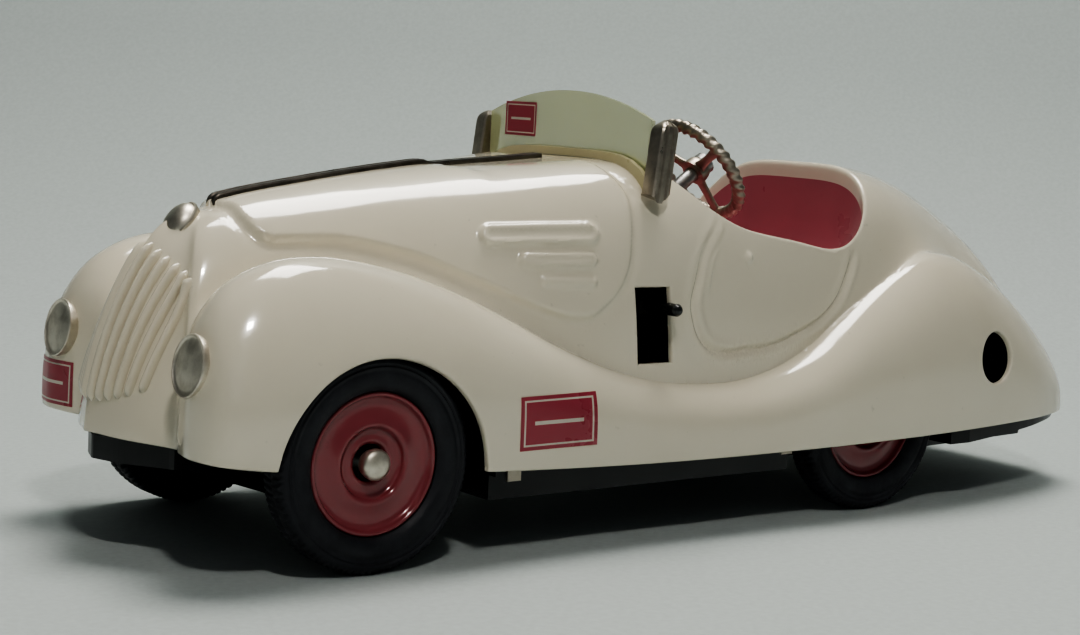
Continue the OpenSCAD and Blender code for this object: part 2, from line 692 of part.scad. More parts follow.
module lever_bracket() {
    color([0.5, 0.5, 0.5]) difference() {
        union() {
            translate([lev_x - 1.6, 13.7, top_z]) cube([3.2, 1.1, lev_z + 1.9 - top_z]);
            translate([lev_x - 1.6, 11.6, top_z]) cube([3.2, 2.6, 0.7]);
        }
        along_y(lev_x, lev_z, 12, 17, 0.8 + run);
    }
}

module side_lever() {
    color([0.3, 0.3, 0.3]) {
        along_y(lev_x, lev_z, 13.2, 15.6, 0.8);
        translate([lev_x, lev_y, lev_z]) rotate([0, -lev_a, 0]) {
            translate([-4.5, 0, -1.1]) cube([lev_l + 5.4, 0.8, 2.2]);
            translate([lev_l, 6.3, 0]) rotate([90, 0, 0]) cylinder(h = 6, r = 0.5);
        }
    }
}

module lever_knob() {
    color([0.12, 0.12, 0.12]) translate([lev_x, lev_y, lev_z]) rotate([0, -lev_a, 0])
        translate([lev_l, 4.6, 0]) rotate([-90, 0, 0]) rotate_extrude() polygon([
        [0.52, 0], [0.66, 0], [0.74, 0.2], [0.74, 1.8], [0.5, 2.15], [0, 2.25],
        [0, 1.75], [0.52, 1.75]]);
}

module hand_lever_base() {
    color([0.3, 0.3, 0.32]) difference() {
        union() {
            for (s = [-1, 1]) translate([gl_x - 1.4, gl_y + s * 1.35 - 0.35,
                floor_z + 0.62]) cube([2.8, 0.7, 4.4]);
            translate([gl_x - 1.9, gl_y - 1.7, floor_z + 0.62]) cube([3.8, 3.4, 0.5]);
        }
        along_y(gl_x, gl_z, gl_y - 3, gl_y + 3, 0.6 + run);
    }
}

module hand_lever() {
    color([0.6, 0.58, 0.54]) {
        along_y(gl_x, gl_z, gl_y - 2.1, gl_y + 2.1, 0.6);
        rod([gl_x, gl_y, gl_z], [1.7, gl_y, 41.2], 0.5);
    }
}

module hand_knob() {
    color([0.06, 0.06, 0.06]) difference() {
        translate([2.1, gl_y, 42]) sphere(r = 1.15);
        rod([gl_x, gl_y, gl_z], [1.78, gl_y, 41.35], 0.52);
    }
}

body_shell();
base_plate();
seat_tub();
windscreen();
windscreen_channel();
post_left();
post_right();
bonnet_strip();
nose_badge();
headlight_left();
headlight_right();
steering_wheel();
steering_column();
column_bracket();
tie_rod();
front_bracket();
knuckle_left();
knuckle_right();
front_disc_left();
front_disc_right();
front_tyre_left();
front_tyre_right();
front_cap_left();
front_cap_right();
rear_axle();
rear_disc_left();
rear_disc_right();
rear_tyre_left();
rear_tyre_right();
rear_caps();
axle_pinion();
motor_plate_left();
motor_plate_right();
motor_pillars();
winding_arbor();
ratchet_wheel();
great_wheel();
click_pawl();
mainspring();
second_arbor();
second_pinion();
second_wheel();
lever_bracket();
side_lever();
lever_knob();
hand_lever();
hand_knob();
hand_lever_base();
sill_tabs();
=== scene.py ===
import json
import math
import bpy
import bmesh
import numpy as np
from mathutils import Matrix, Vector
from mathutils.bvhtree import BVHTree


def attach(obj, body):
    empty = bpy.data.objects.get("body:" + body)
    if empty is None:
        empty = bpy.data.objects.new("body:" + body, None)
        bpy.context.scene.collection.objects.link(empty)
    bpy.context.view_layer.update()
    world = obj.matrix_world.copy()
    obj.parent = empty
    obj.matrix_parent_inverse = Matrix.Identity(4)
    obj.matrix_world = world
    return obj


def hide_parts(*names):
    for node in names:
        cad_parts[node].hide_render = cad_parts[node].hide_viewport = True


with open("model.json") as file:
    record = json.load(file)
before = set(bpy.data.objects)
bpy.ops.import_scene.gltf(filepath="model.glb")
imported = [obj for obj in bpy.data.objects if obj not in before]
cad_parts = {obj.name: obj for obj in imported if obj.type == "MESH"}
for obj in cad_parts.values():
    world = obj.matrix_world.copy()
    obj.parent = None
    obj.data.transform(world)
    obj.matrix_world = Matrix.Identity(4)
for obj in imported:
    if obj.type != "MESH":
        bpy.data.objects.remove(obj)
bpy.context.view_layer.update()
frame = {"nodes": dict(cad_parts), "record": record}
MM = 0.001

# ---------------------------------------------------------------- camera and lights
# the photo's viewing point and axes, in the frame's metres
EYE = Vector((0.159364, 0.192263, 0.050926))
RIGHT = Vector((-0.795762, 0.603691, 0.048171))
UP = Vector((-0.03041, -0.119272, 0.992396))
BACK = Vector((0.604846, 0.788246, 0.113270))
SENSOR, LENS = 36.0, 66.366

# name, place, aim, size, power, colour and second size of each soft light
LIGHTS = [
    ("key_behind", (-0.30, -0.26, 0.50), (0.0, 0.0, 0.02), 0.13, 19.0,
     (1.0, 0.945, 0.85), None),
    ("top_soft", (-0.10, -0.08, 0.62), (0.0, 0.0, 0.02), 0.26, 2.4,
     (1.0, 0.97, 0.92), None),
    ("fill_front", (0.38, 0.50, 0.28), (0.0, 0.0, 0.03), 0.30, 0.06,
     (0.95, 0.98, 1.0), None),
    ("window_small", (0.16, 0.26, 0.36), (0.04, 0.01, 0.03), 0.045, 0.45,
     (1.0, 0.98, 0.94), 0.03),
]
SKY, SKY_STRENGTH = (0.80, 0.86, 0.86, 1), 0.13


def make_camera():
    cam = bpy.data.cameras.new("camera")
    cam.sensor_width = SENSOR
    cam.lens = LENS
    cam.clip_start = 0.01
    cam.clip_end = 20.0
    obj = bpy.data.objects.new("camera", cam)
    m = Matrix((RIGHT, UP, BACK)).transposed().to_4x4()
    m.translation = EYE
    obj.matrix_world = m
    bpy.context.scene.collection.objects.link(obj)
    bpy.context.scene.camera = obj


make_camera()


def area_light(name, pos, aim, size, power, colour, size_y):
    data = bpy.data.lights.new(name, "AREA")
    data.energy = power
    data.color = colour
    data.size = size
    if size_y:
        data.shape = "RECTANGLE"
        data.size_y = size_y
    obj = bpy.data.objects.new(name, data)
    obj.location = pos
    obj.rotation_euler = (Vector(aim) - Vector(pos)).to_track_quat("-Z", "Y").to_euler()
    bpy.context.scene.collection.objects.link(obj)


def make_lights():
    world = bpy.data.worlds.new("studio")
    world.use_nodes = True
    bg = world.node_tree.nodes["Background"]
    bg.inputs["Color"].default_value = SKY
    bg.inputs["Strength"].default_value = SKY_STRENGTH
    bpy.context.scene.world = world
    for light in LIGHTS:
        area_light(*light)


make_lights()


# ---------------------------------------------------------------- materials
def nodes_of(name):
    """A new node material, its tree and its shader."""
    mat = bpy.data.materials.new(name)
    mat.use_nodes = True
    tree = mat.node_tree
    bsdf = tree.nodes["Principled BSDF"]
    return mat, tree, bsdf


def noise(tree, scale, detail=4.0, rough=0.55, coord=None):
    n = tree.nodes.new("ShaderNodeTexNoise")
    n.inputs["Scale"].default_value = scale
    n.inputs["Detail"].default_value = detail
    n.inputs["Roughness"].default_value = rough
    if coord is None:
        coord = tree.nodes.new("ShaderNodeTexCoord").outputs["Object"]
    tree.links.new(coord, n.inputs["Vector"])
    return n.outputs["Fac"]


def ramp(tree, fac, stops):
    r = tree.nodes.new("ShaderNodeValToRGB")
    el = r.color_ramp.elements
    while len(el) < len(stops):
        el.new(0.5)
    for e, (p, c) in zip(el, stops):
        e.position = p
        e.color = (*c, 1) if len(c) == 3 else c
    tree.links.new(fac, r.inputs["Fac"])
    return r.outputs["Color"]


def span(tree, fac, lo, hi, a=0.3, b=0.7):
    """The factor's range a to b spread over lo to hi."""
    m = tree.nodes.new("ShaderNodeMapRange")
    m.inputs["From Min"].default_value = a
    m.inputs["From Max"].default_value = b
    m.inputs["To Min"].default_value = lo
    m.inputs["To Max"].default_value = hi
    tree.links.new(fac, m.inputs["Value"])
    return m.outputs["Result"]


def bump(tree, bsdf, height, strength, distance):
    b = tree.nodes.new("ShaderNodeBump")
    b.inputs["Strength"].default_value = strength
    b.inputs["Distance"].default_value = distance
    tree.links.new(height, b.inputs["Height"])
    tree.links.new(b.outputs["Normal"], bsdf.inputs["Normal"])


def mix(tree, fac, a, b):
    """Colour a to b by the factor. Each is a plain colour or a socket."""
    m = tree.nodes.new("ShaderNodeMix")
    m.data_type = "RGBA"
    tree.links.new(fac, m.inputs[0])
    for sock, val in ((m.inputs[6], a), (m.inputs[7], b)):
        if isinstance(val, tuple):
            sock.default_value = (*val, 1)
        else:
            tree.links.new(val, sock)
    return m.outputs[2]


def enamel(name, base, dark, coat=0.6, rough=0.2):
    """Stove enamel on tin: deep gloss, faint tone drift, orange peel and fine dust."""
    mat, tree, bsdf = nodes_of(name)
    drift = noise(tree, 45, 3)
    colour = mix(tree, span(tree, drift, 0.0, 1.0, 0.35, 0.72), base, dark)
    specks = noise(tree, 900, 2, 0.5)
    dirt = span(tree, specks, 0.0, 0.28, 0.72, 0.80)
    colour = mix(tree, dirt, colour, tuple(c * 0.55 for c in base))
    tree.links.new(colour, bsdf.inputs["Base Color"])
    tree.links.new(span(tree, noise(tree, 120, 4), rough * 0.8, rough * 1.35),
                   bsdf.inputs["Roughness"])
    bsdf.inputs["Coat Weight"].default_value = coat
    bsdf.inputs["Coat Roughness"].default_value = 0.05
    bsdf.inputs["IOR"].default_value = 1.5
    bump(tree, bsdf, noise(tree, 380, 2), 0.035, 0.0004)
    return mat


def metal(name, base, stain, rough=0.3, scale=260, brushed=False):
    """Thin nickel or steel with mottled oxide and fine rubbing marks."""
    mat, tree, bsdf = nodes_of(name)
    bsdf.inputs["Metallic"].default_value = 1.0
    blot = noise(tree, scale, 5, 0.62)
    colour = mix(tree, span(tree, blot, 0.0, 1.0, 0.42, 0.66), base, stain)
    tree.links.new(colour, bsdf.inputs["Base Color"])
    tree.links.new(span(tree, noise(tree, scale * 0.6, 5), rough * 0.75, rough * 1.5),
                   bsdf.inputs["Roughness"])
    if brushed:
        coord = tree.nodes.new("ShaderNodeTexCoord")
        stretch = tree.nodes.new("ShaderNodeMapping")
        stretch.inputs["Scale"].default_value = (1.0, 14.0, 14.0)
        tree.links.new(coord.outputs["Object"], stretch.inputs["Vector"])
        grain = noise(tree, 420, 3, 0.6, stretch.outputs["Vector"])
        bump(tree, bsdf, grain, 0.12, 0.0002)
    else:
        bump(tree, bsdf, noise(tree, 900, 3), 0.08, 0.0002)
    return mat


def rubber(name):
    """Old black rubber with a grey bloom."""
    mat, tree, bsdf = nodes_of(name)
    colour = ramp(tree, noise(tree, 320, 6, 0.65),
                  [(0.30, (0.013, 0.013, 0.017)), (0.62, (0.024, 0.025, 0.031)),
                   (0.82, (0.05, 0.05, 0.052))])
    tree.links.new(colour, bsdf.inputs["Base Color"])
    tree.links.new(span(tree, noise(tree, 200, 4), 0.42, 0.72), bsdf.inputs["Roughness"])
    bump(tree, bsdf, noise(tree, 1400, 4), 0.18, 0.0003)
    return mat


def tinted_pane(name):
    """Half-clear olive celluloid."""
    mat, tree, bsdf = nodes_of(name)
    drift = noise(tree, 60, 2)
    colour = mix(tree, span(tree, drift, 0, 1, 0.35, 0.7), (0.66, 0.69, 0.40),
                 (0.60, 0.64, 0.38))
    tree.links.new(colour, bsdf.inputs["Base Color"])
    bsdf.inputs["Roughness"].default_value = 0.08
    bsdf.inputs["IOR"].default_value = 1.48
    bsdf.inputs["Coat Weight"].default_value = 0.3
    tree.links.new(span(tree, noise(tree, 40, 2), 0.50, 0.56, 0.4, 0.75),
                   bsdf.inputs["Alpha"])
    return mat


MAT = {
    "cream": enamel("cream_enamel", (0.76, 0.70, 0.57), (0.73, 0.665, 0.535), 0.8, 0.14),
    "red": enamel("red_enamel", (0.30, 0.060, 0.070), (0.25, 0.048, 0.058), 0.7, 0.18),
    "seat": enamel("red_seat_enamel", (0.46, 0.13, 0.155), (0.40, 0.11, 0.132), 0.3, 0.32),
    "black": enamel("black_enamel", (0.004, 0.0045, 0.006), (0.008, 0.008, 0.01), 0.2, 0.34),
    "nickel": metal("aged_nickel", (0.50, 0.45, 0.38), (0.30, 0.265, 0.22), 0.34),
    "bright": metal("bright_nickel", (0.78, 0.73, 0.64), (0.56, 0.51, 0.43), 0.38, 420),
    "strip": metal("dark_strip", (0.16, 0.145, 0.125), (0.09, 0.08, 0.07), 0.34),
    "steel": metal("plain_steel", (0.50, 0.50, 0.49), (0.33, 0.32, 0.31), 0.36, 300, True),
    # dark steel for the levers; the same dark metal is painted shade on the inside of the shell
    # and under the seat
    "dark_steel_and_painted_shade": metal("dark_steel_and_painted_shade", (0.09, 0.088, 0.085), (0.05, 0.048, 0.046), 0.42),
    "blued": metal("blued_spring", (0.16, 0.18, 0.24), (0.10, 0.09, 0.11), 0.3, 200, True),
    "brass": metal("gear_brass", (0.62, 0.45, 0.17), (0.42, 0.28, 0.09), 0.3, 300),
    "rubber": rubber("tyre_rubber"),
    "pane": tinted_pane("olive_pane"),
    "channel": enamel("pale_channel", (0.62, 0.56, 0.36), (0.56, 0.50, 0.30), 0.3, 0.3),
    "knob": enamel("black_knob", (0.01, 0.01, 0.011), (0.016, 0.016, 0.016), 0.5, 0.25),
}


# ---------------------------------------------------------------- shell surface
# plan outline, skeleton and dome exponent by station, nose to tail, in millimetres
OX = [71.4, 69.6, 66.4, 67.4, 68.0, 66.2, 60, 50, 38, 26, 12, -6, -20, -34, -48, -60,
      -68, -71, -71.4]
OY = [0, 5.4, 10.4, 13.6, 17.6, 21.7, 23.5, 23.9, 23.6, 23.1, 23.1, 23.4, 23.8, 23.8,
      22.9, 20.9, 17.0, 9.2, 0]
SX = [62.5, 61, 59.5, 58, 56.5, 53.5, 48, 40, 30, 20, 9, -5, -16, -27, -38, -47.5,
      -53.5, -56.5, -57.5]
EX = [1.65, 1.65, 1.9, 2.6, 3, 3.6, 4.2, 4.3, 4.4, 4.5, 4.6, 4.6, 4.6, 4.4, 4.2, 3.4,
      2.7, 2.3, 2.2]
HF = [(-72, 24), (-62, 32.3), (-54, 36.7), (-46.7, 39.8), (-38.6, 42), (-29, 43.3),
      (0, 43.6), (8, 43.3), (13, 42.8), (33, 41), (46, 39.1), (57, 37), (64.5, 34.6),
      (72, 32)]
WF = [(-72, 15), (-60, 14.5), (-46, 15.6), (-37, 17), (-29, 17.9), (-20, 18.3),
      (0, 19.3), (12, 19.3), (22, 18), (35, 15.2), (48, 12.6), (60, 10.6), (72, 9)]
MF = [(-72, 2.2), (-50, 2.5), (-38, 3.5), (-29, 4.5), (-18, 4.5), (-6, 4.6), (4, 5.3),
      (12, 5.4), (20, 4), (30, 3), (45, 2.6), (72, 2.2)]
ZC = [(-72, 17), (-66, 22), (-58, 27), (-50, 31), (-43, 33.4), (-37.5, 33.6),
      (-31, 31), (-23, 26.7), (-15, 21.6), (-6, 18.8), (4, 18.6), (14, 20.4), (22, 23.4),
      (30, 27.2), (38, 30.6), (46, 32.9), (53, 33.8), (60, 33.2), (66, 31), (72, 27)]
YC = [(-72, 13), (-60, 15.6), (-45, 17.4), (-30, 18.2), (-15, 19.6), (4, 20),
      (20, 19.4), (40, 17.6), (55, 16.6), (72, 16.6)]
CU = [(-72, 0.1), (-40, 0.1), (-20, 0.05), (0, 0.02), (20, 0.03), (40, 0.08),
      (60, 0.12), (72, 0.12)]
ZB = [(-72, 10.3), (34, 10.3), (50, 11.4), (62, 12.4), (72, 13.4)]
# openings: centres and half sizes of the cockpit, key hole, wheel arch and lever slot
PIT = (-11.6, 18.4, 16.9)
PIT_FRONT, PIT_BACK = 4.0, 5.5
PIT_FLANGE = 0.45
KEY = (-46.9, 18.9, 3.3)
KEY_ROLL = 0.3
ARCH = (48.6, 10.2, 13.0)
SLOT = (9.9, 24.6, 2.7, 4.65)
SLOT_LEAN = 0.08
SHEET = 0.6


def curve(pairs, t):
    """Smooth curve through (position, value) pairs, evaluated at the array t."""
    pos, val = (np.array(v, float) for v in zip(*pairs))
    t = np.clip(np.asarray(t, float), pos[0], pos[-1])
    i = np.clip(np.searchsorted(pos, t, side="right") - 1, 0, len(pos) - 2)
    h = np.diff(pos)
    d = np.diff(val) / h
    m = np.empty_like(val)
    m[0], m[-1] = d[0], d[-1]
    m[1:-1] = (d[:-1] * h[1:] + d[1:] * h[:-1]) / (h[1:] + h[:-1])
    u = (t - pos[i]) / h[i]
    return ((2 * u**3 - 3 * u**2 + 1) * val[i] + (u**3 - 2 * u**2 + u) * h[i] * m[i]
            + (3 * u**2 - 2 * u**3) * val[i + 1] + (u**3 - u**2) * h[i] * m[i + 1])


def station(values, s):
    return curve(list(enumerate(values)), s)


def top_height(x, y):
    y = np.abs(y)
    base, m = curve(ZB, x), curve(MF, x)
    q = np.clip(y / curve(WF, x), 0, 1)
    body = base + (curve(HF, x) - base) * (1 - q**m + 1e-9) ** (1 / m)
    wing = curve(ZC, x) - curve(CU, x) * (y - curve(YC, x)) ** 2
    blend = np.maximum(5 - np.abs(body - wing), 0) / 5
    return np.maximum(body, wing) + blend * blend * 1.25


def shell(s, r):
    """Shell points (n, 3) at station s and reach r, from the skeleton to the sill edge."""
    ox, oy, sx, n = (station(v, s) for v in (OX, OY, SX, EX))
    x, y, base = sx + r * (ox - sx), r * oy, curve(ZB, ox)
    z = base + (top_height(x, y) - base) * np.maximum(1 - r**n, 0) ** (1 / n)
    return np.stack([x, y, z], 1)


# ---------------------------------------------------------------- pressed details
PANEL = [(57.6, 0.0, 37.2), (57.0, 1.4, 37.0), (56.4, 2.7, 36.8), (56.2, 4.6, 35.9),
         (54.8, 6.9, 34.0), (50.8, 8, 33.8), (46.4, 9.1, 33.8), (42.2, 10.5, 33.1),
         (38, 11.9, 32.0), (33.6, 13.6, 30.3), (29.3, 15.2, 28.5), (24.7, 16.8, 26.7),
         (21.1, 17.7, 25.7), (18.7, 18.2, 25.8), (16.9, 18.4, 27.0), (15.1, 18.6, 28.8),
         (13.8, 18.4, 31.3), (13.1, 17.8, 34.4), (12.6, 16.9, 37.2), (12.4, 15.8, 39.1),
         (12.8, 14, 40.8), (13.2, 11.8, 41.8), (13.4, 8, 42.4), (13.4, 4, 42.7),
         (13.4, 0, 42.8)]
DOOR = [(-1.6, 16.6, 37.9), (-0.4, 17.3, 36.1), (2.0, 18.3, 33.2), (3.3, 19, 29.6),
        (4.0, 19.2, 26.7), (3.6, 19.3, 25), (2.7, 19.3, 23.1), (1, 19.3, 21.6),
        (-2.0, 19.2, 20.9), (-4.9, 19, 21.1), (-9.3, 18.7, 21.4), (-14.7, 18.2, 22.9),
        (-18.5, 17.7, 24.5), (-21.1, 17.3, 26.6), (-22.7, 16.7, 29.1), (-23.9, 16, 31.7),
        (-24.6, 15.6, 33.4)]
DOOR_LIP = [(-1.4, 17.9, 34.4), (0.6, 18.5, 32.2), (1.6, 18.9, 29.4), (2.0, 19.1, 27.4)]
LOUVRES = [((29.6, 13.1, 34.4), (18.4, 16.4, 34.9), 1.15, 0.62),
           ((26.0, 15.2, 31.9), (18.6, 17.2, 32.1), 0.75, 0.54),
           ((24.0, 16.2, 29.6), (18.6, 17.9, 29.7), 0.55, 0.38)]
PIP = (-5.4, 17.9, 32.2)


def smooth_line(points, count):
    """The points as one smooth line of count points."""
    p = np.array(points, float)
    t = np.concatenate([[0], np.cumsum(np.linalg.norm(np.diff(p, axis=0), axis=1))])
    u = np.linspace(0, t[-1], count)
    return np.stack([curve(list(zip(t, p[:, k])), u) for k in range(3)], 1)


def line_distance(p, line):
    """Distance of each point from a polyline, and how far along it (0 to 1)."""
    best = np.full(len(p), 1e9)
    along = np.zeros(len(p))
    for k in range(len(line) - 1):
        a, d = line[k], line[k + 1] - line[k]
        u = np.clip((p - a) @ d / (d @ d), 0, 1)
        dist = np.linalg.norm(p - a - u[:, None] * d, axis=1)
        near = dist < best
        best[near] = dist[near]
        along[near] = (k + u[near]) / (len(line) - 1)
    return best, along


def inside_polygon(q, poly):
    """Even-odd test of the points q against a closed 2-D polygon."""
    hit = np.zeros(len(q), bool)
    a = poly
    b = np.roll(poly, -1, axis=0)
    for (ax, ay), (bx, by) in zip(a, b):
        if ay == by:
            continue
        cross = (ay > q[:, 1]) != (by > q[:, 1])
        hit ^= cross & (q[:, 0] < (bx - ax) * (q[:, 1] - ay) / (by - ay) + ax)
    return hit


def ease(v):
    v = np.clip(v, 0, 1)
    return v * v * (3 - 2 * v)


def on_flank(line):
    """The line moved sideways on to the flank."""
    lo, hi = np.full(len(line), 12.0), np.full(len(line), 20.5)
    for _ in range(30):
        mid = (lo + hi) / 2
        above = top_height(line[:, 0], mid) > line[:, 2]
        lo, hi = np.where(above, mid, lo), np.where(above, hi, mid)
    return np.stack([line[:, 0], lo, line[:, 2]], 1)


PANEL_LINE = smooth_line(PANEL, 130)
DOOR_LINE = on_flank(smooth_line(DOOR, 90))
LIP_LINE = on_flank(smooth_line(DOOR_LIP, 16))
PANEL_AREA = np.concatenate([np.stack([PANEL_LINE[:, 0],
                                       PANEL_LINE[:, 1] - PANEL_LINE[:, 2]], 1),
                             [[13.4, -70.0], [57.6, -70.0]]])


def relief(p):
    """Height of the pressed details over the plain shell, and distance to the nearest."""
    q = p * np.array([1, 0, 1]) + np.stack([0 * p[:, 0], np.abs(p[:, 1]), 0 * p[:, 0]], 1)
    high = np.zeros(len(q))
    near = np.full(len(q), 1e9)
    box = (q[:, 0] > 8) & (q[:, 0] < 62) & (q[:, 2] > 20)
    if box.any():
        b = q[box]
        dist, along = line_distance(b, PANEL_LINE)
        inner = inside_polygon(np.stack([b[:, 0], b[:, 1] - b[:, 2]], 1), PANEL_AREA)
        sd = np.where(inner, dist, -dist)
        gain = 1 - 0.75 * ease((along - 0.86) / 0.1)
        step = 0.62 * ease((sd + 0.5) / 0.95) - 0.16 * np.exp(-((sd + 0.85) / 0.45) ** 2)
        high[box] += step * gain
        near[box] = np.minimum(near[box], dist)
        for a, c, half, lift in LOUVRES:
            dist, _ = line_distance(b, np.array([a, c], float))
            high[box] += lift * ease((half + 0.35 - dist) / 0.6) \
                - 0.4 * lift * ease((half - 0.35 - dist) / 0.6)
            near[box] = np.minimum(near[box], np.abs(dist - half))
    box = (q[:, 0] > -28) & (q[:, 0] < 8) & (q[:, 1] > 13)
    if box.any():
        b = q[box]
        dist, along = line_distance(b, DOOR_LINE)
        fade = ease(along / 0.06) * ease((1 - along) / 0.06)
        high[box] -= (0.42 * np.exp(-(dist / 0.40) ** 2)
                      - 0.14 * np.exp(-((dist - 0.95) / 0.45) ** 2)) * fade
        near[box] = np.minimum(near[box], dist)
        dist, along = line_distance(b, LIP_LINE)
        high[box] += 0.28 * np.exp(-(dist / 0.35) ** 2) * ease(along / 0.3) \
            * ease((1 - along) / 0.3)
        near[box] = np.minimum(near[box], dist)
        dist = np.linalg.norm((b - np.array(PIP)) * np.array([1, 0, 1]), axis=1)
        high[box] += 0.34 * ease((0.85 - dist) / 0.7)
        near[box] = np.minimum(near[box], dist)
    return high, near


# ---------------------------------------------------------------- openings in the shell
# each field is below zero inside its opening, and 9 mm where it doesn't apply
def pit_field(p):
    dx, y = p[:, 0] - PIT[0], np.abs(p[:, 1])
    n = np.where(dx > 0, PIT_FRONT, PIT_BACK)
    level = ((np.abs(dx) / (PIT[1] + PIT_FLANGE)) ** n
             + (y / (PIT[2] + PIT_FLANGE)) ** n) ** (1 / n)
    return np.where(p[:, 2] > 27, (level - 1) * 16, 9.0)


def arch_field(p):
    return np.where(np.abs(p[:, 1]) > 12.5,
                    np.hypot(p[:, 0] - ARCH[0], p[:, 2] - ARCH[1]) - ARCH[2], 9.0)


def slot_field(p):
    dx = np.abs(p[:, 0] - SLOT[0] - SLOT_LEAN * (p[:, 2] - SLOT[1])) - SLOT[2]
    dz = np.abs(p[:, 2] - SLOT[1]) - SLOT[3]
    return np.where(p[:, 1] > 15, np.maximum(dx, dz), 9.0)


def key_field(p):
    gap = np.hypot(p[:, 0] - KEY[0], p[:, 2] - KEY[1]) - KEY[2] - KEY_ROLL
    return np.where(p[:, 1] > 15, gap, 9.0)


def split_edges(par, tri, mark, place):
    """Splits marked edges of a triangle mesh in parameter space, keeping it closed up."""
    edges = np.sort(np.concatenate([tri[:, [0, 1]], tri[:, [1, 2]], tri[:, [2, 0]]]), axis=1)
    edges, back = np.unique(edges, axis=0, return_inverse=True)
    back = back.reshape(-1)
    chosen = mark(edges)
    where = np.full(len(edges), -1)
    where[chosen] = len(par) + np.arange(chosen.sum())
    par = np.concatenate([par, place(edges[chosen])])
    n = len(tri)
    mid = np.stack([where[back[:n]], where[back[n:2 * n]], where[back[2 * n:]]], 1)
    out = []
    count = (mid >= 0).sum(1)
    out.append(tri[count == 0])
    for k in range(3):
        a, b, c = tri[:, k], tri[:, (k + 1) % 3], tri[:, (k + 2) % 3]
        ab, bc, ca = mid[:, k], mid[:, (k + 1) % 3], mid[:, (k + 2) % 3]
        one = (count == 1) & (ab >= 0)
        out.append(np.stack([a, ab, c], 1)[one])
        out.append(np.stack([ab, b, c], 1)[one])
        two = (count == 2) & (ca < 0)
        out.append(np.stack([ab, b, bc], 1)[two])
        out.append(np.stack([a, ab, bc], 1)[two])
        out.append(np.stack([a, bc, c], 1)[two])
    full = count == 3
    a, b, c = tri[full].T
    ab, bc, ca = mid[full].T
    out += [np.stack(t, 1) for t in ((a, ab, ca), (ab, b, bc), (ca, bc, c), (ab, bc, ca))]
    return par, np.concatenate(out)


# edge length wanted at each distance from a detail, and the sag allowed in an edge
NEAR, LONGEST = [0.5, 1.2, 4.0], [0.37, 0.85, 1.8]
SAG, COARSE_SAG = 0.019, 0.05


def half_shell(side, fine=True):
    """One half of the shell as (points, triangles), with every opening of that side cut."""
    fields = [pit_field, arch_field] + ([slot_field, key_field] if side > 0 else [])
    ns, nr = (170, 36) if fine else (110, 24)
    s = np.interp(np.linspace(0, 1, ns + 1), [0, 0.34, 1], [0, 6, 18])
    r = 1 - (1 - np.linspace(0, 1, nr + 1)) ** 1.5
    par = np.stack(np.meshgrid(s, r, indexing="ij"), -1).reshape(-1, 2)
    i, j = np.meshgrid(np.arange(ns), np.arange(nr), indexing="ij")
    a = (i * (nr + 1) + j).reshape(-1)
    b, c, d = a + nr + 1, a + nr + 2, a + 1
    tri = np.concatenate([np.stack([a, b, c], 1), np.stack([a, c, d], 1)])

    for _ in range(7 if fine else 3):
        pts = shell(par[:, 0], par[:, 1])
        near = relief(pts)[1] if fine else np.full(len(pts), 9.0)
        for f in fields:
            near = np.minimum(near, np.abs(f(pts)))
        limit = np.interp(near, NEAR, LONGEST)
        limit = np.minimum(limit, np.interp(pts[:, 0], [56, 62], [9, 0.85]))

        def long_edge(e):
            size = np.linalg.norm(pts[e[:, 0]] - pts[e[:, 1]], axis=1)
            mid = (par[e[:, 0]] + par[e[:, 1]]) / 2
            sag = np.linalg.norm(shell(mid[:, 0], mid[:, 1])
                                 - (pts[e[:, 0]] + pts[e[:, 1]]) / 2, axis=1)
            return (size > 1.25 * np.minimum(limit[e[:, 0]], limit[e[:, 1]])) \
                | ((sag > (SAG if fine else COARSE_SAG)) & (size > 0.4))

        par, tri = split_edges(par, tri, long_edge,
                               lambda e: (par[e[:, 0]] + par[e[:, 1]]) / 2)

    for f in fields:
        val = f(shell(par[:, 0], par[:, 1]))
        val[np.abs(val) < 1e-7] = 1e-7

        def crossing(e):
            return (val[e[:, 0]] < 0) != (val[e[:, 1]] < 0)

        def cut(e):
            lo, hi = np.zeros(len(e)), np.ones(len(e))
            sign = np.sign(val[e[:, 0]])
            for _ in range(22):
                m = (lo + hi) / 2
                q = par[e[:, 0]] * (1 - m)[:, None] + par[e[:, 1]] * m[:, None]
                same = np.sign(f(shell(q[:, 0], q[:, 1]))) == sign
                lo, hi = np.where(same, m, lo), np.where(same, hi, m)
            return par[e[:, 0]] * (1 - hi)[:, None] + par[e[:, 1]] * hi[:, None]

        old = len(par)
        par, tri = split_edges(par, tri, crossing, cut)
        val = np.concatenate([val, np.zeros(len(par) - old)])
        tri = tri[val[tri].min(1) >= 0]
    pts = shell(par[:, 0], par[:, 1])
    pts[:, 1] *= side
    return pts, tri[:, ::-1] if side > 0 else tri


def compact(pts, tri):
    """Welds equal points and drops degenerate triangles and unused points."""
    key = np.round(pts / 2e-4).astype(np.int64)
    _, first, back = np.unique(key, axis=0, return_index=True, return_inverse=True)
    tri = back.reshape(-1)[tri]
    pts = pts[first]
    good = (tri[:, 0] != tri[:, 1]) & (tri[:, 1] != tri[:, 2]) & (tri[:, 0] != tri[:, 2])
    tri = tri[good]
    used, back = np.unique(tri, return_inverse=True)
    return pts[used], back.reshape(-1, 3)


def vertex_normals(pts, tri):
    a, b, c = (pts[tri[:, k]] for k in range(3))
    face = np.cross(b - a, c - a)
    out = np.zeros_like(pts)
    for k in range(3):
        np.add.at(out, tri[:, k], face)
    return out / np.maximum(np.linalg.norm(out, axis=1), 1e-12)[:, None]


